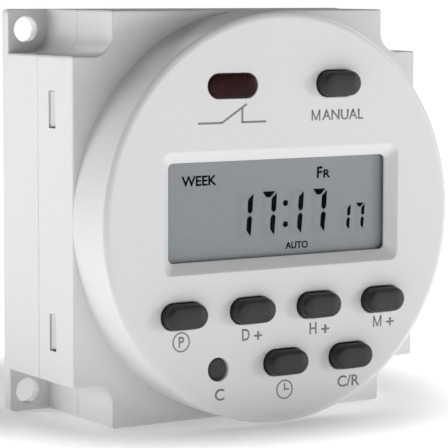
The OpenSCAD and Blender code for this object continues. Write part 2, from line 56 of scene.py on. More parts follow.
HALF = 30.0
CASE_DEPTH = 21.7
SEAM = 11.3
WALL = 1.8
POCKET = 6.4
POCKET_ROUND = 3.0
EAR_T = 2.1
EAR_HOLE_AT = 27.0
EAR_HOLE_R = 1.9
FACE = 30.5
FACE_BACK = 28.9
EDGE_W = 1.1
EDGE_DROP = 0.5
DIAL_RIM = 29.9
WINDOW_W, WINDOW_H, WINDOW_Z = 37.7, 14.2, 1.5
BEVEL_W, BEVEL_DEPTH = 1.55, 1.3
PANEL_FRONT = 28.35
KEY_W, KEY_H = 6.8, 3.6
KEY_TOP = 32.5
KEY_GAP = 0.15
TOP_ROW_Z, UPPER_ROW_Z, LOWER_ROW_Z = 19.4, -12.95, -20.95
KEYS = {
    "manual_key": (9.1, TOP_ROW_Z),
    "program_key": (-17.225, UPPER_ROW_Z),
    "day_key": (-5.675, UPPER_ROW_Z),
    "hour_key": (5.875, UPPER_ROW_Z),
    "minute_key": (17.425, UPPER_ROW_Z),
    "clock_key": (0.1, LOWER_ROW_Z),
    "recall_key": (11.65, LOWER_ROW_Z),
}
RESET_AT = (-11.25, LOWER_ROW_Z - 0.15)
RESET_R = 1.7
RESET_TOP = 30.2
RESET_CAP_R = 1.58
LENS_W, LENS_H = 8.2, 3.4
LENS_AT = (-8.9, TOP_ROW_Z)
LENS_TOP = 30.9
BOARD_FRONT = 22.7
BOARD_SCREWS = [(20, 16), (-20, 16), (18.3, -18.6), (-18.3, -18.6)]
SNAP_AT, SNAP_W = (15.9, -16.25), 5.4
SNAP_BACK, SNAP_FRONT = 14.6, 16.6
HOOK_SLOPE, HOOK_SLOPE_START, HOOK_SLOPE_LENGTH = 0.577, 15.1, 1.3
POWER_BACK = 3.4
POWER_FRONT = 5.0
POWER_SCREWS = [(25, 17), (-25, 17), (25, -11.5), (-25, -11.5)]
CLIP_SCREW_AT = (13, 9.5)
BLADE_PITCH = 8.4
BAY_HALF_W = 21.8
BAY_DEPTH = 10.1
BAY_TOP = -17.2


# ---- Mesh helpers ---------------------------------------------------------------------------


def arc(centre, radius, start, end, steps):
    """Points on an arc, angles in degrees."""
    points = []
    for i in range(steps + 1):
        angle = math.radians(start + (end - start) * i / steps)
        points.append((centre[0] + radius * math.cos(angle), centre[1] + radius * math.sin(angle)))
    return points


def circle(radius, at=(0, 0), count=48):
    turn = [2 * math.pi * i / count for i in range(count)]
    return [(at[0] + radius * math.cos(a), at[1] + radius * math.sin(a)) for a in turn]


def stadium(width, height, at, steps=18):
    """A bar with round ends; a negative or zero height closes it to a line's width."""
    r = max(height / 2, 0.01)
    reach = max(width / 2 - r, 0.01)
    right = arc((at[0] + reach, at[1]), r, -90, 90, steps)
    left = arc((at[0] - reach, at[1]), r, 90, 270, steps)
    return right + left


def rounded(width, height, radius, at=(0, 0), steps=5):
    points = []
    reach_x, reach_z = width / 2 - radius, height / 2 - radius
    corners = [(1, 1, 0), (-1, 1, 90), (-1, -1, 180), (1, -1, 270)]
    for sx, sz, start in corners:
        centre = (at[0] + sx * reach_x, at[1] + sz * reach_z)
        points += arc(centre, radius, start, start + 90, steps)
    return points


def case_outline(inset=0.0, corner=0.4):
    """The square case with its four screw pockets, moved in by `inset`."""
    side = HALF - inset
    lip = HALF - POCKET - inset
    sharp = max(corner - inset, 0.05)
    hollow = POCKET_ROUND + inset
    mid = lip + hollow
    quarter = arc((side - sharp, lip - sharp), sharp, 0, 90, 4)
    quarter += arc((mid, mid), hollow, 270, 180, 12)
    quarter += arc((lip - sharp, side - sharp), sharp, 0, 90, 4)
    points = list(quarter)
    for _ in range(3):
        quarter = [(-z, x) for x, z in quarter]
        points += quarter
    return points


def at_depth(outline, depth):
    return [Vector((x * MM, -depth * MM, z * MM)) for x, z in outline]


def add_object(name, mesh):
    piece = bpy.data.objects.new(name, mesh)
    bpy.context.scene.collection.objects.link(piece)
    return piece


def loft(name, rings, wrap=False):
    """A closed solid through rings of points; the first and last rings are capped unless wrapped."""
    mesh = bpy.data.meshes.new(name)
    bm = bmesh.new()
    loops = [[bm.verts.new(p) for p in ring] for ring in rings]
    pairs = list(zip(loops, loops[1:]))
    if wrap:
        pairs.append((loops[-1], loops[0]))
    for low, high in pairs:
        for i in range(len(low)):
            j = (i + 1) % len(low)
            bm.faces.new((low[i], low[j], high[j], high[i]))
    if not wrap:
        bm.faces.new(list(reversed(loops[0])))
        bm.faces.new(loops[-1])
    bmesh.ops.recalc_face_normals(bm, faces=bm.faces)
    bm.to_mesh(mesh)
    bm.free()
    return add_object(name, mesh)


def prism(name, sections):
    """A solid through (outline, depth) sections, listed from the back to the front."""
    return loft(name, [at_depth(outline, depth) for outline, depth in sections])


def lathe(name, profile, at=(0, 0), count=48):
    """A solid turned about the depth through `at`; the profile is (radius, depth) from the back."""
    return prism(name, [(circle(r, at, count), d) for r, d in profile])


def block(name, low, high, edge=0.15, steps=2):
    """A box between two (x, depth, z) corners with all its edges rounded by `edge`."""
    width, height = high[0] - low[0], high[2] - low[2]
    centre = ((low[0] + high[0]) / 2, (low[2] + high[2]) / 2)
    sections = []
    for i in range(steps + 1):
        angle = math.pi / 2 * i / steps
        inset = edge * (1 - math.sin(angle))
        sections.append((inset, low[1] + edge * (1 - math.cos(angle))))
    sections += [(inset, high[1] + low[1] - depth) for inset, depth in reversed(sections)]
    outlines = []
    for inset, depth in sections:
        radius = max(edge - inset, 0.02)
        outlines.append((rounded(width - 2 * inset, height - 2 * inset, radius, centre, 3), depth))
    return prism(name, outlines)


def settle(piece):
    """Applies the piece's modifiers to its mesh."""
    graph = bpy.context.evaluated_depsgraph_get()
    old = piece.data
    mesh = bpy.data.meshes.new_from_object(piece.evaluated_get(graph))
    piece.modifiers.clear()
    piece.data = mesh
    bpy.data.meshes.remove(old)
    return piece


def join(name, pieces):
    """One object from several; solids that don't touch stay separate shells."""
    bm = bmesh.new()
    for piece in pieces:
        bm.from_mesh(piece.data)
    mesh = bpy.data.meshes.new(name)
    bm.to_mesh(mesh)
    bm.free()
    for piece in pieces:
        old = piece.data
        bpy.data.objects.remove(piece)
        bpy.data.meshes.remove(old)
    return add_object(name, mesh)


def combine(piece, operation, tool):
    """Union or difference of two solids, by exact boolean."""
    modifier = piece.modifiers.new("combine", "BOOLEAN")
    modifier.operation = operation
    modifier.solver = "EXACT"
    modifier.object = tool
    settle(piece)
    old = tool.data
    bpy.data.objects.remove(tool)
    bpy.data.meshes.remove(old)
    return piece


def add(piece, *tools):
    for tool in tools:
        combine(piece, "UNION", tool)
    return piece


def cut(piece, *tools):
    return combine(piece, "DIFFERENCE", join("cutter", tools) if len(tools) > 1 else tools[0])


def soften(piece, angle=33):
    """Smooth shading with sharp edges kept, and flat faces shaded flat."""
    bm = bmesh.new()
    bm.from_mesh(piece.data)
    bmesh.ops.remove_doubles(bm, verts=bm.verts, dist=1e-7)
    bm.to_mesh(piece.data)
    bm.free()
    piece.data.shade_smooth()
    piece.data.set_sharp_from_angle(angle=math.radians(angle))
    modifier = piece.modifiers.new("normals", "WEIGHTED_NORMAL")
    modifier.keep_sharp = True
    modifier.weight = 80
    return piece


def round_edges(piece, width, steps=2, angle=35):
    modifier = piece.modifiers.new("edges", "BEVEL")
    modifier.width = width * MM
    modifier.segments = steps
    modifier.limit_method = "ANGLE"
    modifier.angle_limit = math.radians(angle)
    modifier.use_clamp_overlap = True
    return settle(piece)


# ---- Materials ------------------------------------------------------------------------------


def socket(node, name, value):
    node.inputs[name].default_value = value


def make_material(
    name,
    colour,
    rough,
    vary=0.03,
    rough_vary=0.06,
    grain=3500.0,
    bump=0.12,
    bump_mm=0.012,
    patch=45.0,
    stretch=(1, 1, 1),
    **sockets,
):
    """A surface with slow colour variation, uneven roughness and a fine moulded grain.

    `grain` and `patch` are noise scales per metre. Extra keywords are shader sockets by name.
    """
    material = bpy.data.materials.new(name)
    material.use_nodes = True
    nodes, links = material.node_tree.nodes, material.node_tree.links
    shader = nodes["Principled BSDF"]
    coords = nodes.new("ShaderNodeTexCoord")
    mapping = nodes.new("ShaderNodeMapping")
    socket(mapping, "Scale", stretch)
    links.new(coords.outputs["Object"], mapping.inputs["Vector"])

    slow = nodes.new("ShaderNodeTexNoise")
    socket(slow, "Scale", patch)
    socket(slow, "Detail", 3.0)
    links.new(mapping.outputs["Vector"], slow.inputs["Vector"])
    tint = nodes.new("ShaderNodeMix")
    tint.data_type = "RGBA"
    dark = [c * (1 - vary) for c in colour]
    light = [min(c * (1 + vary), 1.0) for c in colour]
    tint.inputs["A"].default_value = (*dark, 1)
    tint.inputs["B"].default_value = (*light, 1)
    links.new(slow.outputs["Fac"], tint.inputs["Factor"])
    links.new(tint.outputs["Result"], shader.inputs["Base Color"])

    fine = nodes.new("ShaderNodeTexNoise")
    socket(fine, "Scale", grain)
    socket(fine, "Detail", 2.0)
    links.new(mapping.outputs["Vector"], fine.inputs["Vector"])
    spread = nodes.new("ShaderNodeMapRange")
    socket(spread, "From Min", 0.3)
    socket(spread, "From Max", 0.7)
    socket(spread, "To Min", max(rough - rough_vary, 0.02))
    socket(spread, "To Max", min(rough + rough_vary, 1.0))
    links.new(fine.outputs["Fac"], spread.inputs["Value"])
    links.new(spread.outputs["Result"], shader.inputs["Roughness"])
    relief = nodes.new("ShaderNodeBump")
    socket(relief, "Strength", bump)
    socket(relief, "Distance", bump_mm * MM)
    links.new(fine.outputs["Fac"], relief.inputs["Height"])
    links.new(relief.outputs["Normal"], shader.inputs["Normal"])
    for key, value in sockets.items():
        socket(shader, key.replace("_", " "), value)
    return material


def dress(piece, material):
    piece.data.materials.clear()
    piece.data.materials.append(material)
    return piece


def place(piece, body, slot, *nodes, material=None):
    """Gives a new piece its material (the slot's, unless one is given) and its body, and hides the CAD nodes
    that it stands for.
    """
    dress(piece, material or SLOT_MATERIAL[slot])
    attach(piece, body)
    if nodes:
        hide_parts(*nodes)
    return piece


SLOT_MATERIAL = {
    "case_plastic": make_material(
        "white_case", (0.80, 0.80, 0.805), 0.42, vary=0.012, bump=0.10, Coat_Weight=0.08, Coat_Roughness=0.25
    ),
    "window_clear": make_material(
        "clear_window", (0.04, 0.045, 0.05), 0.05, vary=0.01, rough_vary=0.015, bump=0.01, Alpha=0.03
    ),
    "display_glass": make_material(
        "display_grey", (0.308, 0.333, 0.350), 0.45, vary=0.02, grain=6000.0, bump=0.03, patch=90.0
    ),
    "frame_plastic": make_material("pale_frame", (0.72, 0.72, 0.70), 0.5),
    "contact_rubber": make_material("contact_rubber", (0.62, 0.24, 0.28), 0.6, stretch=(8, 1, 1)),
    "lens_red": make_material(
        "dark_red_lens", (0.026, 0.0060, 0.0066), 0.26, vary=0.5, grain=1800.0, patch=700.0, bump=0.05,
        Specular_IOR_Level=0.09
    ),
    "led_red": make_material("led_epoxy", (0.55, 0.05, 0.04), 0.12, bump=0.02),
    "mat_rubber": make_material("mat_rubber", (0.06, 0.06, 0.065), 0.7, bump=0.2),
    "key_rubber": make_material(
        "key_grey", (0.031, 0.031, 0.034), 0.52, vary=0.08, rough_vary=0.09, grain=2600.0, bump=0.22,
        bump_mm=0.02, patch=300.0, Specular_IOR_Level=0.35
    ),
    "board_laminate": make_material(
        "board_green", (0.02, 0.16, 0.06), 0.35, vary=0.15, grain=2400.0, patch=250.0, Coat_Weight=0.4
    ),
    "screw_steel": make_material(
        "zinc_steel", (0.62, 0.62, 0.64), 0.28, vary=0.06, grain=1500.0, patch=400.0, Metallic=1.0
    ),
    "chip_epoxy": make_material("chip_epoxy", (0.018, 0.018, 0.02), 0.55, bump=0.25, grain=6000.0),
    "cell_steel": make_material(
        "cell_steel", (0.68, 0.68, 0.67), 0.2, grain=900.0, stretch=(1, 1, 12), Metallic=1.0
    ),
    "ribbon_sleeve": make_material("ribbon_grey", (0.42, 0.43, 0.46), 0.45, stretch=(1, 0.1, 6)),
    "terminal_brass": make_material(
        "brass", (0.72, 0.52, 0.22), 0.26, vary=0.07, grain=1600.0, patch=250.0, stretch=(6, 1, 1),
        Metallic=1.0
    ),
    "capacitor_film": make_material("film_yellow", (0.75, 0.52, 0.07), 0.32, bump=0.06),
    "capacitor_sleeve": make_material("sleeve_blue", (0.02, 0.03, 0.12), 0.3, vary=0.1),
    "varistor_coat": make_material("varistor_blue", (0.02, 0.10, 0.40), 0.35, grain=1200.0, bump=0.3),
    "resistor_coat": make_material("resistor_green", (0.22, 0.42, 0.28), 0.45, grain=1200.0, bump=0.3),
    "relay_black": make_material("relay_black", (0.02, 0.02, 0.022), 0.4),
    "relay_shell": make_material("relay_blue", (0.02, 0.10, 0.42), 0.22, bump=0.05, Coat_Weight=0.2),
    "coil_wire": make_material(
        "winding", (0.55, 0.20, 0.07), 0.3, grain=5000.0, bump=0.5, stretch=(0.02, 1, 0.02), Metallic=0.7
    ),
    "relay_iron": make_material("relay_iron", (0.58, 0.57, 0.55), 0.32, grain=1500.0, Metallic=1.0),
    "clip_plastic": make_material(
        "grey_clip", (0.50, 0.51, 0.52), 0.46, vary=0.02, bump=0.16, grain=3000.0
    ),
    "latch_plastic": make_material(
        "dark_latch", (0.045, 0.047, 0.052), 0.42, vary=0.06, bump=0.16, grain=3000.0
    ),
    "spring_steel": make_material(
        "spring_steel", (0.60, 0.60, 0.62), 0.22, grain=4000.0, Metallic=1.0
    ),
}
PRINT_GREY = make_material(
    "print_grey", (0.225, 0.225, 0.230), 0.55, vary=0.12, grain=9000.0, bump=0.1, patch=900.0
)
SEGMENT_BLACK = make_material(
    "segment_black", (0.0015, 0.0016, 0.0020), 0.5, vary=0.2, grain=9000.0, patch=900.0, bump=0.02,
    Specular_IOR_Level=0.0
)
GHOST_GREY = make_material(
    "segment_ghost", (0.282, 0.306, 0.324), 0.45, vary=0.03, grain=6000.0, patch=300.0, bump=0.02
)

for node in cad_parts.values():
    if node.data.materials:
        slot_name = node.data.materials[0].name
        node.data.materials[0] = SLOT_MATERIAL[slot_name]


# ---- Front housing --------------------------------------------------------------------------


def flare(outline_at, back, lip, front, past):
    """Sections of a hole whose outer lip is rounded; outline_at(growth) gives its outline."""
    sections = [(outline_at(0), back)]
    for i in range(5):
        angle = math.pi / 2 * i / 4
        sections.append((outline_at(lip * (1 - math.cos(angle))), front - lip + lip * math.sin(angle)))
    sections.append((outline_at(lip), past))
    return sections


def front_housing():
    edge = 0.3
    seam_edge = 0.18
    sections = [(case_outline(seam_edge), SEAM), (case_outline(seam_edge * 0.3), SEAM + seam_edge * 0.3)]
    sections.append((case_outline(0), SEAM + seam_edge))
    for i in range(5):
        angle = math.pi / 2 * i / 4
        inset = edge * (1 - math.cos(angle))
        sections.append((case_outline(inset), CASE_DEPTH - edge + edge * math.sin(angle)))
    housing = prism("front_housing_skin", sections)
    cut(housing, prism("cutter", [(case_outline(WALL), SEAM - 1), (case_outline(WALL), CASE_DEPTH - WALL)]))

    radius = (EDGE_W**2 + EDGE_DROP**2) / (2 * EDGE_DROP)
    sweep = math.degrees(math.asin(EDGE_W / radius))
    profile = [(29.97, CASE_DEPTH - WALL), (29.97, CASE_DEPTH), (DIAL_RIM, FACE - EDGE_DROP - 0.06)]
    profile.append((DIAL_RIM - 0.015, FACE - EDGE_DROP - 0.01))
    crown = arc((DIAL_RIM - EDGE_W, FACE - radius), radius, 90 - sweep, 90, 8)
    profile += [(r, d) for r, d in crown[1:]]
    profile.append((25.0, FACE))
    dial = lathe("dial", profile, count=192)
    cut(dial, lathe("cutter", [(28.2, CASE_DEPTH - WALL - 2), (28.2, FACE_BACK)], count=192))
    add(housing, dial)
    cut(housing, lathe("cutter", [(28.2, CASE_DEPTH - WALL - 1), (28.2, CASE_DEPTH + 2)], count=192))

    cutters = []
    lip = 0.22

    def window(growth, radius=0.8):
        grow = 2 * growth
        return rounded(WINDOW_W + grow, WINDOW_H + grow, radius + growth * 0.3, (0, WINDOW_Z), 6)

    rise = FACE - BEVEL_DEPTH
    cutters.append(
        prism(
            "cutter",
            [
                (window(0), FACE_BACK - 1.5),
                (window(0), rise - 0.08),
                (window(0.06), rise + 0.02),
                (window(BEVEL_W - 0.12), FACE - 0.14),
                (window(BEVEL_W + 0.02), FACE - 0.05),
                (window(BEVEL_W + 0.18), FACE),
                (window(BEVEL_W + 0.18), FACE + 1),
            ],
        )
    )
    for at in KEYS.values():
        def hole(growth, at=at):
            width = KEY_W + 2 * KEY_GAP + 2 * growth
            return stadium(width, KEY_H + 2 * KEY_GAP + 2 * growth, at)
        cutters.append(prism("cutter", flare(hole, FACE_BACK - 1, lip, FACE, FACE + 1)))

    def lens_hole(growth):
        return stadium(LENS_W + 0.2 + 2 * growth, LENS_H + 0.2 + 2 * growth, LENS_AT)

    cutters.append(prism("cutter", flare(lens_hole, FACE_BACK - 1, 0.15, FACE, FACE + 1)))

    def reset_hole(growth):
        return circle(RESET_R + growth, RESET_AT, 48)

    cutters.append(prism("cutter", flare(reset_hole, FACE_BACK - 1, 0.2, FACE, FACE + 1)))
    for sx in (-1, 1):
        for z in SNAP_AT:
            low = (min(sx * 27, sx * 31), SNAP_BACK, z - SNAP_W / 2)
            high = (max(sx * 27, sx * 31), SNAP_FRONT, z + SNAP_W / 2)
            cutters.append(block("cutter", low, high, 0.12, 1))
    cut(housing, *cutters)
    bosses = []
    for at in BOARD_SCREWS:
        boss = lathe("boss", [(1.9, BOARD_FRONT), (2.0, BOARD_FRONT + 0.1), (2.0, FACE_BACK + 0.3)], at, 40)
        cut(boss, lathe("cutter", [(1.0, BOARD_FRONT - 1), (1.0, 28.2)], at, 24))
        bosses.append(boss)
    add(housing, join("bosses", bosses))
    return soften(housing)


place(front_housing(), "case", "case_plastic", "front_housing")


# ---- Rear base ------------------------------------------------------------------------------


def rear_base():
    seam_edge = 0.18
    shell = prism(
        "rear_base_skin",
        [
            (case_outline(0), 1.0),
            (case_outline(0), SEAM - seam_edge),
            (case_outline(seam_edge * 0.3), SEAM - seam_edge * 0.3),
            (case_outline(seam_edge), SEAM),
        ],
    )
    edge = 0.22
    plate_sections = []
    for depth, inset in (
        (0, edge), (edge * 0.3, edge * 0.3), (edge, 0),
        (EAR_T - edge, 0), (EAR_T - edge * 0.3, edge * 0.3), (EAR_T, edge),
    ):
        side = 2 * HALF - 2 * inset
        plate_sections.append((rounded(side, side, 0.8 - inset, (0, 0), 5), depth))
    add(shell, prism("plate", plate_sections))
    cut(shell, prism("cutter", [(case_outline(WALL), EAR_T), (case_outline(WALL), SEAM + 1)]))
    add(shell, block("bay", (-23.4, 0.2, -29.98), (23.4, SEAM, -15.6), 0.1, 1))
    tabs = []
    for sx in (-1, 1):
        for z in SNAP_AT:
            z0, z1 = z - SNAP_W / 2, z + SNAP_W / 2
            root = sorted((sx * 26.9, sx * 28.4))
            stem = sorted((sx * 26.9, sx * 28.1))
            nub = sorted((sx * 27.7, sx * 29.9))
            tab = block("tab", (root[0], 6, z0), (root[1], SEAM, z1), 0.05, 1)
            add(tab, block("stem", (stem[0], SEAM - 0.3, z0), (stem[1], 17.6, z1), 0.1, 1))
            hook_low, hook_high = (nub[0], SNAP_BACK + 0.35, z0 + 0.3), (nub[1], SNAP_FRONT - 0.1, z1 - 0.12)
            hook = block("hook", hook_low, hook_high, 0.12, 2)
            for vertex in hook.data.vertices:
                if abs(vertex.co.x) > 29 * MM:
                    ahead = min(max(-vertex.co.y - HOOK_SLOPE_START * MM, 0), HOOK_SLOPE_LENGTH * MM)
                    vertex.co.x -= sx * HOOK_SLOPE * ahead
            add(tab, hook)
            tabs.append(tab)
    add(shell, join("tabs", tabs))
    post_profile = [(2.2, 1.6), (2.2, POWER_BACK - 0.1), (2.1, POWER_BACK)]
    posts = [lathe("post", post_profile, at, 40) for at in POWER_SCREWS]
    for sx in (-1, 1):
        for sz in (-1, 1):
            at = (sx * CLIP_SCREW_AT[0], sz * CLIP_SCREW_AT[1])
            posts.append(lathe("post", [(2.4, 1.6), (2.4, EAR_T + 1.0), (2.3, EAR_T + 1.1)], at, 40))
    add(shell, join("posts", posts))

    bay = block("cutter", (-BAY_HALF_W, -1, -HALF - 2), (BAY_HALF_W, BAY_DEPTH, BAY_TOP), 0.15, 1)
    ribs = []
    for step in (-1.5, -0.5, 0.5, 1.5):
        x = step * BLADE_PITCH
        ribs.append(block("rib", (x - 0.5, 0.6, -28.6), (x + 0.5, BAY_DEPTH + 1, BAY_TOP + 1), 0.12, 2))
    cut(bay, *ribs)
    cut(shell, bay)
    holes = []
    for step in (-2, -1, 0, 1, 2):
        x = step * BLADE_PITCH
        slot_low, slot_high = (x - 3.35, POWER_FRONT - 0.2, -18.8), (x + 3.35, POWER_FRONT + 1.0, -14.0)
        holes.append(block("cutter", slot_low, slot_high, 0.05, 1))
    for sx in (-1, 1):
        for sz in (-1, 1):
            at = (sx * EAR_HOLE_AT, sz * EAR_HOLE_AT)
            lip = 0.18
            profile = [(EAR_HOLE_R + lip, -1), (EAR_HOLE_R + lip, 0)]
            profile += [(EAR_HOLE_R + 0.05, lip * 0.7), (EAR_HOLE_R, lip)]
            profile += [(r, EAR_T - d) for r, d in reversed(profile)]
            holes.append(lathe("cutter", profile, at, 48))
            at = (sx * CLIP_SCREW_AT[0], sz * CLIP_SCREW_AT[1])
            holes.append(lathe("cutter", [(1.1, -1), (1.1, EAR_T + 1.0)], at, 24))
    holes += [lathe("cutter", [(1.0, 0.7), (1.0, POWER_BACK + 1)], at, 24) for at in POWER_SCREWS]
    cut(shell, *holes)
    return soften(shell)


place(rear_base(), "case", "case_plastic", "rear_base")


# ---- Keys, reset key and indicator ----------------------------------------------------------


def capped(name, outline_at, reach, sections, shoulder, edge, crown, top):
    """A cap on `sections`: a rounded shoulder of radius `edge`, then a low crown up to `top`.

    The crown's last outline is inset by `reach`.
    """
    made = list(sections)
    steps = 7
    for i in range(steps + 1):
        angle = math.pi / 2 * i / steps
        inset = edge * (1 - math.cos(angle))
        rise = (top - crown - shoulder) * math.sin(angle)
        made.append((outline_at(inset), shoulder + rise))
    spare = reach - edge
    for i in range(1, 6):
        share = i / 5
        made.append((outline_at(edge + spare * share), top - crown * (1 - share) ** 2))
    return prism(name, made)


def key(name, at):
    def outline(inset):
        return stadium(KEY_W - 2 * inset, KEY_H - 2 * inset, at, 24)

    def wide(growth):
        return stadium(KEY_W + 2 * growth, KEY_H + 2 * growth, at, 24)

    sections = [
        (outline(0.35), 23.6), (outline(0.35), 27.9), (wide(0.80), 27.9), (wide(0.85), 27.95),
        (wide(0.85), 28.75), (wide(0.80), 28.8), (outline(0.0), 28.8), (outline(0.0), 30.2),
    ]
    return soften(capped(name, outline, KEY_H / 2 - 0.05, sections, 31.6, 0.9, 0.10, KEY_TOP), 40)


for key_name, key_at in KEYS.items():
    place(key(key_name + "_cap", key_at), key_name, "key_rubber", key_name)


def reset_key():
    profile = [
        (1.3, 23.6), (1.3, 27.9), (2.25, 27.9), (2.3, 27.95), (2.3, 28.75), (2.25, 28.8),
        (RESET_CAP_R, 28.8), (RESET_CAP_R, RESET_TOP - 0.38),
    ]
    for i in range(1, 6):
        angle = math.pi / 2 * i / 5
        rounding = (0.35 * (1 - math.cos(angle)), 0.35 * math.sin(angle))
        profile.append((RESET_CAP_R - rounding[0], RESET_TOP - 0.38 + rounding[1]))
    profile += [(0.8, RESET_TOP - 0.01), (0.2, RESET_TOP)]
    return soften(lathe("reset_key_cap", profile, RESET_AT, 48), 40)


place(reset_key(), "reset_key", "key_rubber", "reset_key")


def indicator_lens():
    def outline(inset):
        return stadium(LENS_W - 2 * inset, LENS_H - 2 * inset, LENS_AT, 24)

    sections = [(outline(-0.8), 28.0), (outline(-0.8), 28.8), (outline(0.0), 28.8), (outline(0.0), 30.2)]
    body = capped("indicator_lens_body", outline, LENS_H / 2 - 0.05, sections, 30.45, 0.4, 0.08, LENS_TOP)
    return soften(body, 40)


place(indicator_lens(), "case", "lens_red", "indicator_lens")


# ---- Display contents -----------------------------------------------------------------------


def flat_solid(name, polygons, depth, thick):
    """Thin raised shapes on a surface that faces the viewer; polygons are lists of (x, z)."""
    mesh = bpy.data.meshes.new(name)
    bm = bmesh.new()
    for polygon in polygons:
        back = [bm.verts.new(p) for p in at_depth(polygon, depth)]
        front = [bm.verts.new(p) for p in at_depth(polygon, depth + thick)]
        for i in range(len(polygon)):
            j = (i + 1) % len(polygon)
            bm.faces.new((back[i], back[j], front[j], front[i]))
        bm.faces.new(list(reversed(back)))
        bm.faces.new(front)
    bmesh.ops.recalc_face_normals(bm, faces=bm.faces)
    bm.to_mesh(mesh)
    bm.free()
    return add_object(name, mesh)


def segments(which, right, width, low, high, bar, slant):
    """Polygons of a seven-segment figure. `right` is its right edge at the top."""
    height = high - low
    mid = height / 2
    t = bar
    shapes = {
        "a": [(0.06 * t, height), (width - 0.32 * t, height), (width - 1.28 * t, height - t),
              (0.95 * t, height - t)],
        "b": [(width, height - 0.25 * t), (width - t, height - 1.2 * t), (width - t, mid + 0.62 * t),
              (width - 0.5 * t, mid + 0.12 * t), (width, mid + 0.55 * t)],
        "c": [(width, mid - 0.55 * t), (width - 0.5 * t, mid - 0.12 * t), (width - t, mid - 0.62 * t),
              (width - t, 1.15 * t), (width - 0.1 * t, 0.05 * t)],
        "d": [(0.95 * t, t), (width - 1.28 * t, t), (width - 0.32 * t, 0), (0.06 * t, 0)],
        "g": [(0.6 * t, mid), (1.05 * t, mid + 0.45 * t), (width - 1.05 * t, mid + 0.45 * t),
              (width - 0.6 * t, mid), (width - 1.05 * t, mid - 0.45 * t), (1.05 * t, mid - 0.45 * t)],
    }
    shapes["f"] = [(width - x, z) for x, z in reversed(shapes["b"])]
    shapes["e"] = [(width - x, z) for x, z in reversed(shapes["c"])]
    made = []
    for name in which:
        points = [(right - width + x - slant * (height - z) / height, low + z) for x, z in shapes[name]]
        made.append(points)
    return made


BIG = dict(width=2.60, low=-2.60, high=3.86, bar=0.86, slant=0.42)
SMALL = dict(width=1.66, low=-2.50, high=1.42, bar=0.58, slant=0.28)
ONE, SEVEN, EIGHT = "bc", "abc", "abcdefg"
lit = []
unlit = []
for shape, right, size in (
    (ONE, -3.95, BIG), (SEVEN, 0.14, BIG), (ONE, 4.90, BIG), (SEVEN, 9.03, BIG),
    (ONE, 13.36, SMALL), (SEVEN, 15.92, SMALL),
):
    lit += segments(shape, right, **size)
    unlit += segments([s for s in EIGHT if s not in shape], right, **size)
for dot_z in (2.02, -1.09):
    lit.append(circle(0.45, (1.62, dot_z), 24))
ghost_box = dict(width=1.5, low=-5.0, high=-1.6, bar=0.42, slant=0.3)
unlit += segments("bd", -14.45, **ghost_box)
SEGMENT_T = 0.02
lit_segments = flat_solid("lit_segments", lit, PANEL_FRONT, SEGMENT_T)
place(lit_segments, "case", "display_glass", material=SEGMENT_BLACK)
unlit_segments = flat_solid("unlit_segments", unlit, PANEL_FRONT, SEGMENT_T / 2)
place(unlit_segments, "case", "display_glass", material=GHOST_GREY)


def lettering(name, words, depth, weight=0.0, thick=0.02):
    """Raised print: each entry is (text, left, right, bottom, top) in millimetres."""
    made = []
    for text, left, right, bottom, top in words:
        font = bpy.data.curves.new("text", "FONT")
        font.body = text
        font.size = 1.0
        font.offset = weight
        font.resolution_u = 6
        holder = bpy.data.objects.new("text", font)
        bpy.context.scene.collection.objects.link(holder)
        graph = bpy.context.evaluated_depsgraph_get()
        mesh = bpy.data.meshes.new_from_object(holder.evaluated_get(graph))
        bpy.data.objects.remove(holder)
        bpy.data.curves.remove(font)
        bm = bmesh.new()
        bm.from_mesh(mesh)
        bmesh.ops.remove_doubles(bm, verts=bm.verts, dist=1e-5)
        xs = [v.co.x for v in bm.verts]
        ys = [v.co.y for v in bm.verts]
        scale_x = (right - left) / (max(xs) - min(xs))
        scale_z = (top - bottom) / (max(ys) - min(ys))
        for v in bm.verts:
            x = left + (v.co.x - min(xs)) * scale_x
            z = bottom + (v.co.y - min(ys)) * scale_z
            v.co = Vector((x * MM, -depth * MM, z * MM))
        bmesh.ops.recalc_face_normals(bm, faces=bm.faces)
        for face in bm.faces:
            if face.normal.y < 0:
                face.normal_flip()
        made_faces = bmesh.ops.extrude_face_region(bm, geom=list(bm.faces))
        for item in made_faces["geom"]:
            if isinstance(item, bmesh.types.BMVert):
                item.co.y -= thick * MM
        bmesh.ops.recalc_face_normals(bm, faces=bm.faces)
        bm.to_mesh(mesh)
        bm.free()
        made.append(add_object(name, mesh))
    return join(name, made)


place(
    lettering(
        "display_words",
        [("WEEK", -16.15, -10.27, 5.17, 6.62), ("F", 7.17, 8.14, 5.42, 7.12), ("R", 8.34, 9.56, 5.42, 6.66),
         ("AUTO", 1.64, 5.62, -4.75, -3.70)],
        PANEL_FRONT, weight=0.025,
    ),
    "case", "display_glass", material=SEGMENT_BLACK,
)

# ---- Printed legends ------------------------------------------------------------------------

PRINT_T = 0.02


def stroke(start, end, width):
    """A straight printed line with square ends, as a polygon."""
    a, b = Vector(start), Vector(end)
    along = (b - a).normalized()
    across = Vector((-along.y, along.x)) * width / 2
    return [tuple(a + across), tuple(a - across), tuple(b - across), tuple(b + across)]


def ring(at, radius, width):
    """A printed circle line, as one thin closed ring."""
    outer, inner = circle(radius + width / 2, at), circle(radius - width / 2, at)
    front = FACE + PRINT_T
    rings = [at_depth(outer, FACE), at_depth(outer, front), at_depth(inner, front), at_depth(inner, FACE)]
    return loft("printed_rings", rings, wrap=True)


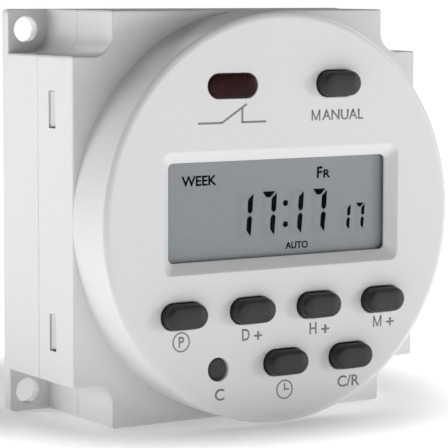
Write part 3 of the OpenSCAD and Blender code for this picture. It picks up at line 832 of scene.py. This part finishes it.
place(
    lettering(
        "printed_words",
        [
            ("ANUAL", 6.53, 13.90, 14.04, 15.60), ("P", -17.93, -17.02, -17.42, -15.88),
            ("D", -7.24, -5.95, -17.30, -15.60), ("+", -5.15, -3.80, -17.35, -16.10),
            ("H", 4.55, 5.80, -17.28, -15.58), ("+", 6.65, 8.05, -17.30, -16.05),
            ("+", 18.50, 19.90, -17.12, -15.85),
            ("C", -11.85, -10.22, -25.65, -23.95), ("C/R", 9.66, 13.62, -25.62, -23.93),
        ],
        FACE, weight=0.014, thick=PRINT_T,
    ),
    "case", "key_rubber", material=PRINT_GREY,
)
LINE = 0.30
PRINT_STEM = 0.24
symbols = [
    stroke((-14.76, 14.18), (-10.81, 14.18), LINE),
    stroke((-10.90, 14.10), (-6.58, 16.77), LINE),
    stroke((-7.33, 14.05), (-7.33, 16.28), LINE),
    stroke((-7.33, 14.19), (-3.26, 14.19), LINE),
    stroke((0.18, -25.00), (0.18, -24.05), 0.24),
    stroke((0.10, -25.03), (0.95, -25.03), 0.24),
]
for left, right, bottom, top in ((4.65, 6.20, 14.04, 15.60), (16.08, 17.62, -17.10, -15.45)):
    middle, inner_left, inner_right = (left + right) / 2, left + PRINT_STEM / 2, right - PRINT_STEM / 2
    symbols += [
        stroke((inner_left, bottom), (inner_left, top), PRINT_STEM),
        stroke((inner_right, bottom), (inner_right, top), PRINT_STEM),
        stroke((inner_left, top), (middle, bottom + 0.1), PRINT_STEM * 0.9),
        stroke((inner_right, top), (middle, bottom + 0.1), PRINT_STEM * 0.9),
    ]
rings = join("printed_rings", [ring((-17.50, -16.65), 1.34, 0.22), ring((0.18, -25.03), 1.34, 0.22)])
place(flat_solid("printed_symbols", symbols, FACE, PRINT_T), "case", "key_rubber", material=PRINT_GREY)
place(rings, "case", "key_rubber", material=PRINT_GREY)


# ---- Rail clip, latch and springs -----------------------------------------------------------


def rail_clip():
    clip = prism("clip_plate", [(rounded(36, 42, 1, (0, 0), 5), -3.0), (rounded(36, 42, 1, (0, 0), 5), 0)])
    add(clip, block("hook", (-18, -6.6, 17.65), (18, -2.9, 20.65), 0.02, 1))
    add(clip, block("lip", (-18, -6.6, 15.45), (18, -4.4, 17.85), 0.02, 1))
    cut(clip, block("cutter", (-7.15, -1.9, -20), (7.15, 1, -9.4), 0.02, 1))
    cut(clip, block("cutter", (-3.65, -4, -22), (3.65, 1.1, -17.5), 0.02, 1))
    cut(clip, block("cutter", (-4.15, -1.9, -22.1), (4.15, 1.2, -19), 0.02, 1))
    cutters = []
    for sx in (-1, 1):
        for sz in (-1, 1):
            at = (sx * CLIP_SCREW_AT[0], sz * CLIP_SCREW_AT[1])
            cutters.append(lathe("cutter", [(2.4, -4), (2.25, -3.01), (1.2, -1.7), (1.2, 1)], at, 40))
    cut(clip, *cutters)
    return soften(round_edges(clip, 0.25))


place(rail_clip(), "case", "clip_plastic", "rail_clip")


def rail_latch():
    latch = block("latch_bar", (-4, -1.8, -28), (4, -0.1, -9.5), 0.02, 1)
    add(latch, block("wings", (-7, -1.8, -11.1), (7, -0.1, -9.5), 0.02, 1))
    add(latch, block("post", (-3.5, -6.6, -20.5), (3.5, -1.7, -17.65), 0.02, 1))
    add(latch, block("lip", (-3.5, -6.6, -17.85), (3.5, -4.4, -15.45), 0.02, 1))
    cut(latch, block("cutter", (-2.5, -3, -26.5), (2.5, 1, -24.9), 0.3, 2))
    return soften(round_edges(latch, 0.18))


place(rail_latch(), "rail_latch", "latch_plastic", "rail_latch")


def spring(name, x, low, high, wire=0.13, turns=9):
    """A compression spring along Z with closed end coils."""
    radius = 0.85 - wire
    rings = []
    per_turn = 24
    total = turns * per_turn
    for i in range(total + 1):
        share = i / total
        end_turn = 0.9 / turns
        rise = min(max((share - end_turn) / (1 - 2 * end_turn), 0), 1)
        climb = wire * 2.05
        z = low + wire + climb * min(share / end_turn, 1) + climb * max((share - 1 + end_turn) / end_turn, 0)
        z += rise * (high - low - 2 * wire - 2 * climb)
        angle = 2 * math.pi * turns * share
        centre = Vector((x + radius * math.cos(angle), 0.95, z))
        out = Vector((math.cos(angle), math.sin(angle), 0))
        centre.y += radius * math.sin(angle)
        up = Vector((0, 0, 1))
        rings.append([
            (centre + wire * (math.cos(a) * out + math.sin(a) * up)) * MM
            for a in [2 * math.pi * k / 8 for k in range(8)]
        ])
    return loft(name, rings)


springs = join("latch_spring_coils", [spring("coil", x, -20.0, -11.1) for x in (-5.6, 5.6)])
soften(springs, 60)
settle(springs)
place(springs, "case", "spring_steel", "latch_springs")
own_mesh(springs)

# ---- CAD nodes that stay: softened edges ----------------------------------------------------

EDGE_FREE = {"display_window", "display_panel"}
for name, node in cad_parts.items():
    if node.hide_render or name in EDGE_FREE:
        continue
    weld = node.modifiers.new("weld", "WELD")
    weld.merge_threshold = 1e-6
    edges = node.modifiers.new("edges", "BEVEL")
    edges.width = 0.00006
    edges.segments = 1
    edges.limit_method = "ANGLE"
    edges.angle_limit = math.radians(40)

# ---- Floor, light and camera ----------------------------------------------------------------


def floor():
    """A white sweep that glows and lights the object from below: the glow is cut near the object, a painted
    shadow pool round its foot, and full further out, where it keeps the floor paper white.
    """
    bm = bmesh.new()
    bmesh.ops.create_grid(bm, x_segments=4, y_segments=4, size=15.0)
    mesh = bpy.data.meshes.new("floor")
    bm.to_mesh(mesh)
    bm.free()
    ground = add_object("floor", mesh)
    ground.location.z = -HALF * MM
    paper = make_material(
        "pale_floor", (0.93, 0.93, 0.935), 0.9, vary=0.005, grain=500.0, bump=0.02, patch=3.0
    )
    nodes, links = paper.node_tree.nodes, paper.node_tree.links
    coords = nodes.new("ShaderNodeTexCoord")
    reach = nodes.new("ShaderNodeVectorMath")
    reach.operation = "LENGTH"
    links.new(coords.outputs["Object"], reach.inputs[0])
    # Painted shadow: the emission strength drops from 1.0 far out to 0.22 close to the object.
    painted_shadow_ramp = nodes.new("ShaderNodeMapRange")
    painted_shadow_ramp.interpolation_type = "SMOOTHSTEP"
    socket(painted_shadow_ramp, "From Min", 0.032)
    socket(painted_shadow_ramp, "From Max", 0.058)
    socket(painted_shadow_ramp, "To Min", 0.22)
    socket(painted_shadow_ramp, "To Max", 1.0)
    links.new(reach.outputs["Value"], painted_shadow_ramp.inputs["Value"])
    socket(nodes["Principled BSDF"], "Emission Color", (1, 1, 1, 1))
    links.new(painted_shadow_ramp.outputs["Result"], nodes["Principled BSDF"].inputs["Emission Strength"])
    dress(ground, paper)


floor()


def area(name, azimuth, elevation, size, watts, distance=1.8):
    """A square softbox aimed at the object. Azimuth 0 is in front, 90 to the right."""
    data = bpy.data.lights.new(name, "AREA")
    data.size = size
    data.energy = watts
    light = bpy.data.objects.new(name, data)
    bpy.context.scene.collection.objects.link(light)
    a, e = math.radians(azimuth), math.radians(elevation)
    away = Vector((math.sin(a) * math.cos(e), -math.cos(a) * math.cos(e), math.sin(e)))
    light.location = Vector((0, -0.015, 0)) + away * distance
    light.rotation_euler = (-away).to_track_quat("-Z", "Y").to_euler()


area("right_light", 100, 30, 0.8, 9.8)
area("front_right_light", 54, 10, 0.8, 2.6)
area("front_light", 10, 5, 0.8, 2.4)
area("low_front_light", 56, 1, 0.3, 7.2)
area("left_light", -115, 8, 0.8, 9.6)
area("left_back_light", -135, 15, 0.8, 3.6)
area("back_light", 180, 30, 0.8, 5.0)
area("top_light", 0, 80, 0.8, 1.6)

world = bpy.data.worlds.new("studio")
bpy.context.scene.world = world
world.use_nodes = True
sky_nodes, sky_links = world.node_tree.nodes, world.node_tree.links
direction = sky_nodes.new("ShaderNodeTexCoord")
split = sky_nodes.new("ShaderNodeSeparateXYZ")
sky_links.new(direction.outputs["Generated"], split.inputs[0])
sky = sky_nodes.new("ShaderNodeMapRange")
sky.interpolation_type = "SMOOTHSTEP"
socket(sky, "From Min", 0.10)
socket(sky, "From Max", 0.45)
socket(sky, "To Min", 1.0)
socket(sky, "To Max", 0.03)
sky_links.new(split.outputs["Z"], sky.inputs["Value"])
sky_links.new(sky.outputs["Result"], sky_nodes["Background"].inputs["Strength"])

camera_data = bpy.data.cameras.new("camera")
camera = bpy.data.objects.new("camera", camera_data)
bpy.context.scene.collection.objects.link(camera)
camera_data.sensor_width = 36
camera_data.lens = 183.22
camera_data.clip_start = 0.01
camera_data.clip_end = 60
turn = Matrix.Rotation(math.radians(-32.59), 4, "Z") @ Matrix.Rotation(math.radians(84.02), 4, "X")
roll = Matrix.Rotation(math.radians(0.169), 4, "Z")
camera.matrix_world = Matrix.Translation((-0.18416, -0.30234, 0.03358)) @ turn @ roll
bpy.context.scene.camera = camera
bpy.context.scene.view_settings.view_transform = "Standard"
